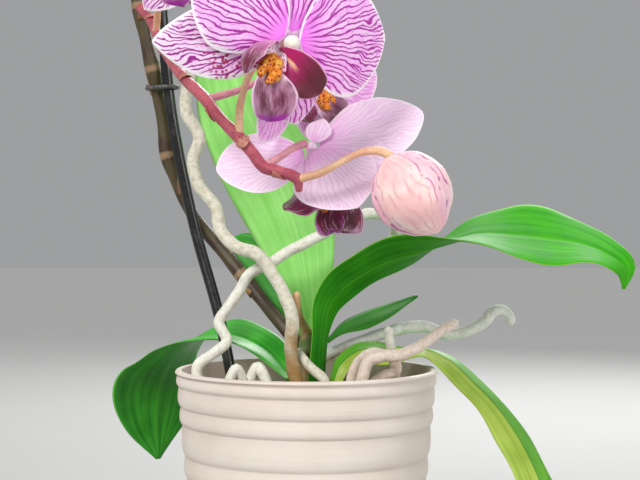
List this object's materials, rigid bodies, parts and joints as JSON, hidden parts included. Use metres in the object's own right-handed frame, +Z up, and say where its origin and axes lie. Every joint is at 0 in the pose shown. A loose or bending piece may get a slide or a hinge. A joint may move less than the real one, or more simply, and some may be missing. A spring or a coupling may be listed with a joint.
{
  "type": "potted orchid",
  "caption": "Moth orchid growing in a round ribbed pot, with arching strap leaves, aerial roots and a staked flower spike carrying veined open flowers and a bud.",
  "frame": {"origin": "centre of the pot's flat underside, on the surface it stands on", "axes": "+Z up; -Y is the side that the open flower faces; +X is to the right seen from that side"},
  "size_m": [0.2749, 0.269, 0.38],
  "materials": {
    "pot_clay": "matte, fine-grained",
    "bark": "rough, dry",
    "leaf": "smooth, waxy",
    "leaf_pale": "smooth, waxy, lighter green",
    "crown_tissue": "dull green-brown",
    "root": "matte, silvery grey-beige",
    "spike": "dull brown",
    "branch": "satin, rose pink",
    "pedicel": "satin, peach",
    "petal": "soft sheen, pale pink with magenta veins",
    "lip": "satin, maroon with an orange callus",
    "column": "satin, cream",
    "bud": "satin, peach with pink veins",
    "stake": "glossy black",
    "clip": "dark grey"
  },
  "bodies": {
    "root": {"pot": "pot_clay", "potting_bark": "bark", "crown": "crown_tissue", "leaf_right": "leaf", "leaf_left": "leaf", "leaf_narrow": "leaf", "leaf_behind": "leaf", "leaf_tall": "leaf_pale", "leaf_lower_right": "leaf_pale", "root_tall": "root", "root_arching": "root", "root_front": "root", "root_loop": "root", "root_stub": "root", "root_silver": "root", "root_pale": "root", "root_new_tip": "root", "root_hump_left": "root", "root_hump_middle": "root", "flower_spike": "spike", "flower_branch": "branch", "pedicel_front": "pedicel", "pedicel_middle": "pedicel", "pedicel_back": "pedicel", "pedicel_bud": "pedicel", "pedicel_upper": "pedicel", "front_sepal_top": "petal", "front_sepal_left": "petal", "front_sepal_right": "petal", "front_petal_left": "petal", "front_petal_right": "petal", "front_lip": "lip", "front_column": "column", "middle_sepal_top": "petal", "middle_sepal_left": "petal", "middle_sepal_right": "petal", "middle_petal_left": "petal", "middle_petal_right": "petal", "middle_lip": "lip", "middle_column": "column", "back_sepal_top": "petal", "back_sepal_left": "petal", "back_sepal_right": "petal", "back_petal_left": "petal", "back_petal_right": "petal", "back_lip": "lip", "back_column": "column", "upper_sepal_top": "petal", "upper_sepal_left": "petal", "upper_sepal_right": "petal", "upper_petal_left": "petal", "upper_petal_right": "petal", "upper_lip": "lip", "upper_column": "column", "bud": "bud", "support_stake": "stake", "spike_clip": "clip"}
  },
  "joints": []
}
